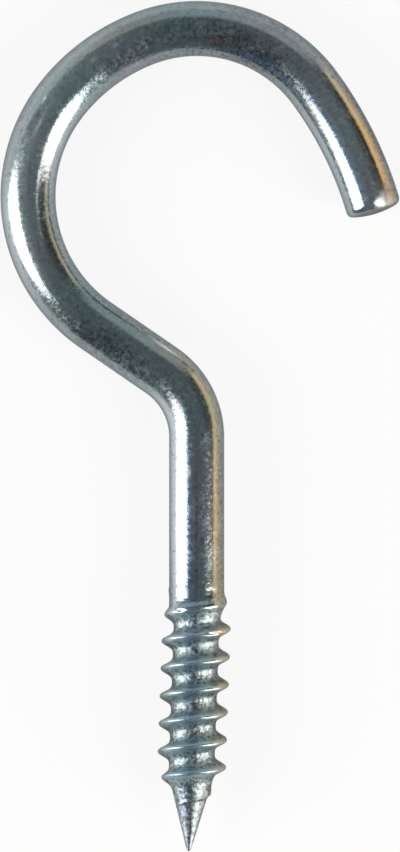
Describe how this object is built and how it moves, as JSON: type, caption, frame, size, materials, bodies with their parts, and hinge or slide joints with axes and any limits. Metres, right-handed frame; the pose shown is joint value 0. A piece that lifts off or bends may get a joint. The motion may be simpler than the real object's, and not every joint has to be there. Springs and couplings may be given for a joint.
{
  "type": "screw hook",
  "caption": "Open hook bent from zinc-plated round wire, with a rolled wood-screw thread and a gimlet point on its straight shank.",
  "frame": {"origin": "on the wire's axis, where the thread starts and the plain shank ends", "axes": "+Y up the shank towards the hook, +X towards the side that the mouth opens to, +Z square to the plane of the hook, up as it lies flat"},
  "size_m": [0.0376, 0.0799, 0.0066],
  "materials": {
    "zinc_plated_steel": "drawn steel wire with a bright, clear-passivated zinc plating, glossy with fine pits and scuffs"
  },
  "bodies": {
    "root": {"screw_hook": "zinc_plated_steel"}
  },
  "joints": []
}
